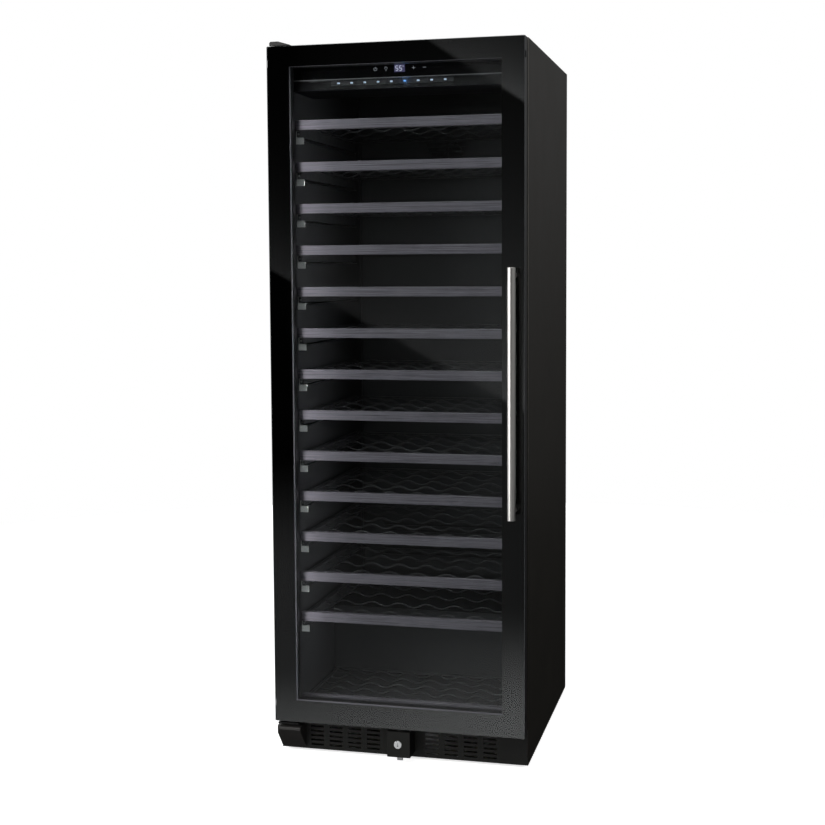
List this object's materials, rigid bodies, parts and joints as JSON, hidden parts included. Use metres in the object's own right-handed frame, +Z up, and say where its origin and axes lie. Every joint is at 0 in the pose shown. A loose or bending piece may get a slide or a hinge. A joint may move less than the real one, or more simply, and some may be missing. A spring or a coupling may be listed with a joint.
{
  "type": "wine cooler",
  "caption": "Tall black wine cooler with a glass door, bar handle, pull-out wire shelves with metal fronts, touch control header, kick grille and key lock.",
  "frame": {"origin": "on the floor, under the middle of the whole cooler's bounding box, handle included", "axes": "+Z up, front and door facing -Y, +X to the right seen from the front"},
  "size_m": [0.595, 0.731, 1.667],
  "materials": {
    "body_black": "satin",
    "rear_black": "satin",
    "galvanised": "satin",
    "foot_rubber": "matte",
    "foam": "matte",
    "liner_black": "satin",
    "frame_black": "satin",
    "kick_black": "satin",
    "lock_chrome": "polished",
    "zinc": "satin",
    "hinge_steel": "satin",
    "cover_plastic": "satin",
    "glass": "gloss",
    "spacer_grey": "satin",
    "gasket": "matte",
    "door_black": "satin",
    "handle_steel": "satin",
    "rail_metal": "satin",
    "wire_black": "satin",
    "panel_gloss": "gloss",
    "lamp": "gloss",
    "coil": "satin",
    "fan_plastic": "satin",
    "compressor_black": "satin"
  },
  "bodies": {
    "cabinet": {"side_panels": "body_black", "top_panel": "body_black", "back_panel": "rear_black", "base_pan": "galvanised", "leveling_feet": "foot_rubber", "insulation_foam": "foam", "inner_liner": "liner_black", "front_frame": "frame_black", "kick_grille": "kick_black", "lock_housing": "kick_black", "hinge_brackets": "hinge_steel", "top_hinge_cover": "cover_plastic", "bottom_hinge_cover": "cover_plastic", "slide_rails": "zinc", "bottom_rail": "rail_metal", "bottom_rack": "wire_black", "control_panel": "panel_gloss", "led_strip": "lamp", "air_duct_cover": "liner_black", "evaporator": "coil", "condenser": "coil", "compressor": "compressor_black", "cord_gland": "foot_rubber"},
    "door": {"door_outer_glass": "glass", "door_inner_glass": "glass", "glass_spacer": "spacer_grey", "door_gasket": "gasket", "door_frame": "door_black", "handle_bar": "handle_steel", "handle_posts": "handle_steel"},
    "lock_barrel": {"lock_barrel": "lock_chrome"},
    "lock_bolt": {"lock_bolt": "zinc"},
    "condenser_fan": {"condenser_fan_blade": "fan_plastic"},
    "evaporator_fan": {"evaporator_fan_blade": "fan_plastic"},
    "shelf_01": {"shelf_rack_01": "wire_black", "shelf_trim_01": "rail_metal"},
    "shelf_02": {"shelf_rack_02": "wire_black", "shelf_trim_02": "rail_metal"},
    "shelf_03": {"shelf_rack_03": "wire_black", "shelf_trim_03": "rail_metal"},
    "shelf_04": {"shelf_rack_04": "wire_black", "shelf_trim_04": "rail_metal"},
    "shelf_05": {"shelf_rack_05": "wire_black", "shelf_trim_05": "rail_metal"},
    "shelf_06": {"shelf_rack_06": "wire_black", "shelf_trim_06": "rail_metal"},
    "shelf_07": {"shelf_rack_07": "wire_black", "shelf_trim_07": "rail_metal"},
    "shelf_08": {"shelf_rack_08": "wire_black", "shelf_trim_08": "rail_metal"},
    "shelf_09": {"shelf_rack_09": "wire_black", "shelf_trim_09": "rail_metal"},
    "shelf_10": {"shelf_rack_10": "wire_black", "shelf_trim_10": "rail_metal"},
    "shelf_11": {"shelf_rack_11": "wire_black", "shelf_trim_11": "rail_metal"},
    "shelf_12": {"shelf_rack_12": "wire_black", "shelf_trim_12": "rail_metal"},
    "shelf_13": {"shelf_rack_13": "wire_black", "shelf_trim_13": "rail_metal"}
  },
  "joints": [
    {"name": "door_hinge", "type": "hinge", "parent": "cabinet", "child": "door", "pos_m": [-0.2855, -0.2885, 0.872], "axis": [0, 0, -1], "range_deg": [0, 115]},
    {"name": "lock_turn", "type": "hinge", "parent": "cabinet", "child": "lock_barrel", "pos_m": [0.001, -0.3075, 0.0505], "axis": [0, -1, 0], "range_deg": [0, 90]},
    {"name": "lock_bolt_slide", "type": "slide", "parent": "cabinet", "child": "lock_bolt", "axis": [0, 0, 1], "range_m": [0, 0.009]},
    {"name": "condenser_fan_spin", "type": "hinge", "parent": "cabinet", "child": "condenser_fan", "pos_m": [0.09, 0.1775, 0.133], "axis": [0, 1, 0], "continuous": true},
    {"name": "evaporator_fan_spin", "type": "hinge", "parent": "cabinet", "child": "evaporator_fan", "pos_m": [0, 0.2775, 1.488], "axis": [0, -1, 0], "continuous": true},
    {"name": "shelf_01_slide", "type": "slide", "parent": "cabinet", "child": "shelf_01", "axis": [0, -1, 0], "range_m": [0, 0.03]},
    {"name": "shelf_02_slide", "type": "slide", "parent": "cabinet", "child": "shelf_02", "axis": [0, -1, 0], "range_m": [0, 0.03]},
    {"name": "shelf_03_slide", "type": "slide", "parent": "cabinet", "child": "shelf_03", "axis": [0, -1, 0], "range_m": [0, 0.03]},
    {"name": "shelf_04_slide", "type": "slide", "parent": "cabinet", "child": "shelf_04", "axis": [0, -1, 0], "range_m": [0, 0.03]},
    {"name": "shelf_05_slide", "type": "slide", "parent": "cabinet", "child": "shelf_05", "axis": [0, -1, 0], "range_m": [0, 0.03]},
    {"name": "shelf_06_slide", "type": "slide", "parent": "cabinet", "child": "shelf_06", "axis": [0, -1, 0], "range_m": [0, 0.03]},
    {"name": "shelf_07_slide", "type": "slide", "parent": "cabinet", "child": "shelf_07", "axis": [0, -1, 0], "range_m": [0, 0.03]},
    {"name": "shelf_08_slide", "type": "slide", "parent": "cabinet", "child": "shelf_08", "axis": [0, -1, 0], "range_m": [0, 0.03]},
    {"name": "shelf_09_slide", "type": "slide", "parent": "cabinet", "child": "shelf_09", "axis": [0, -1, 0], "range_m": [0, 0.03]},
    {"name": "shelf_10_slide", "type": "slide", "parent": "cabinet", "child": "shelf_10", "axis": [0, -1, 0], "range_m": [0, 0.03]},
    {"name": "shelf_11_slide", "type": "slide", "parent": "cabinet", "child": "shelf_11", "axis": [0, -1, 0], "range_m": [0, 0.03]},
    {"name": "shelf_12_slide", "type": "slide", "parent": "cabinet", "child": "shelf_12", "axis": [0, -1, 0], "range_m": [0, 0.03]},
    {"name": "shelf_13_slide", "type": "slide", "parent": "cabinet", "child": "shelf_13", "axis": [0, -1, 0], "range_m": [0, 0.03]}
  ],
  "couplings": [
    {"joint": "lock_bolt_slide", "follows": "lock_turn", "m_per_rad": 0.0057}
  ]
}
